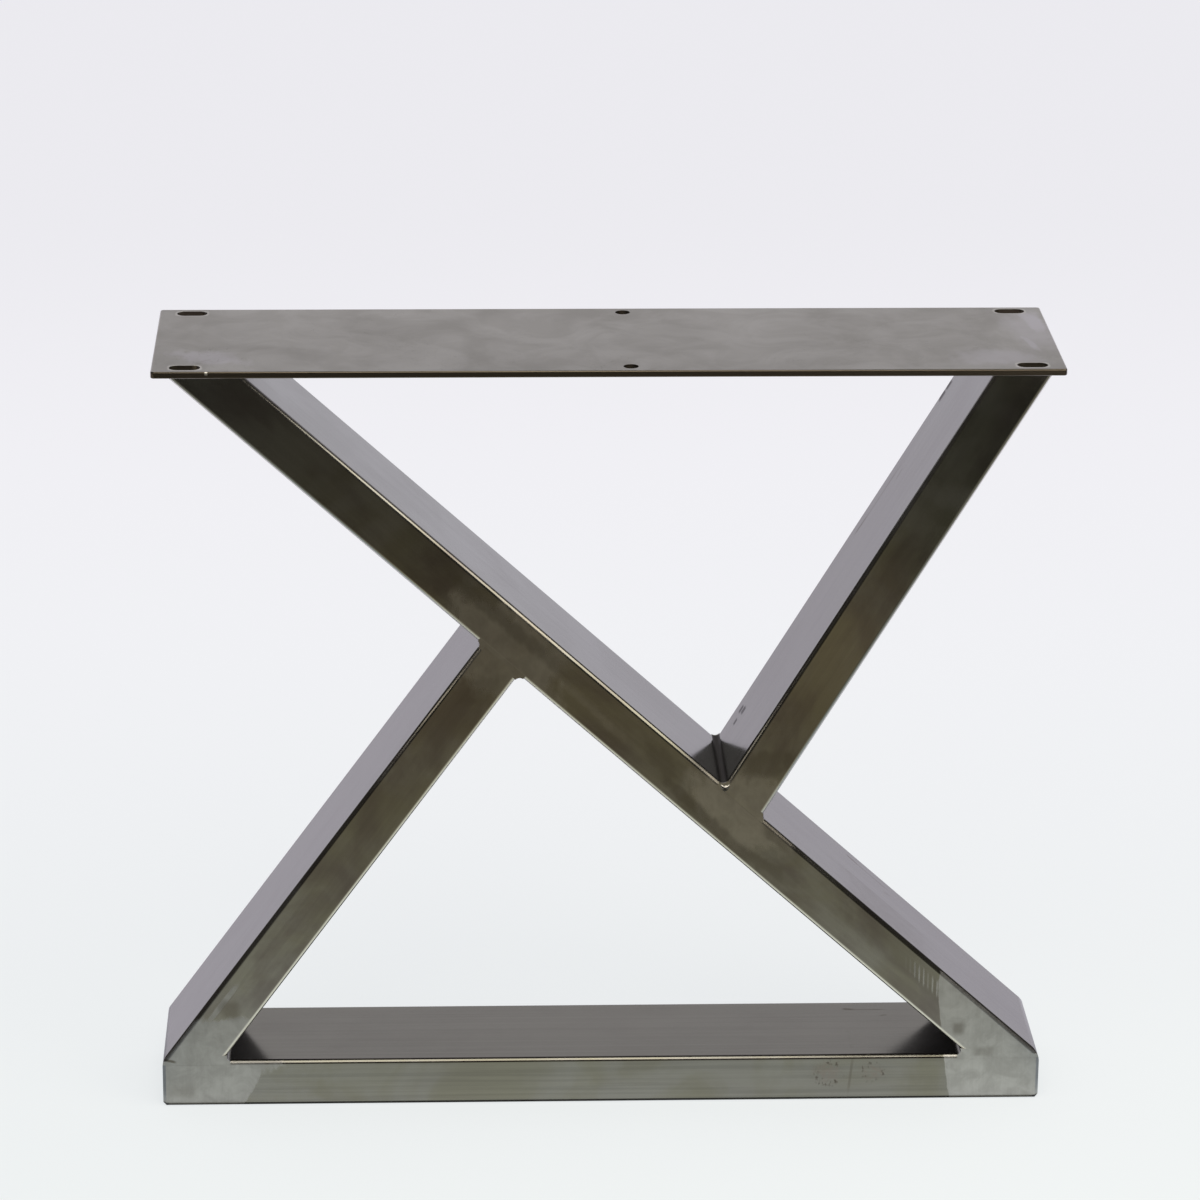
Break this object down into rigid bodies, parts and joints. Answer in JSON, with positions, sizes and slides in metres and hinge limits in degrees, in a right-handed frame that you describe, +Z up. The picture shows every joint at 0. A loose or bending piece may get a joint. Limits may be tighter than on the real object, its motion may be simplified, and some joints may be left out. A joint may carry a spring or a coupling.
{
  "type": "z-shaped table leg",
  "caption": "Welded steel table leg in the shape of a Z: rectangular tubes between a flat foot rail and a slotted top plate that bolts under a table top.",
  "frame": {"origin": "on the floor, under the middle of the leg", "axes": "+X along the leg from left to right, +Y from front to back, +Z up"},
  "size_m": [0.791, 0.194, 0.7],
  "materials": {
    "plate_steel": "mill-finish flat bar under clear lacquer, hand smudges and scuffed ends",
    "tube_steel": "bare dark steel tube under clear lacquer, mirror-like at low angles, cloudy",
    "weld_metal": "weld ground flush with a flap disc, lighter and more matt than the tube"
  },
  "bodies": {
    "root": {"top_plate": "plate_steel", "long_diagonal": "tube_steel", "upper_strut": "tube_steel", "lower_strut": "tube_steel", "foot_rail": "tube_steel", "left_end_cap": "tube_steel", "right_end_cap": "tube_steel", "diagonal_plate_weld": "weld_metal", "upper_strut_plate_weld": "weld_metal", "upper_strut_diagonal_weld": "weld_metal", "lower_strut_diagonal_weld": "weld_metal", "diagonal_rail_weld": "weld_metal", "lower_strut_rail_weld": "weld_metal", "left_cap_weld": "weld_metal", "right_cap_weld": "weld_metal"}
  },
  "joints": []
}
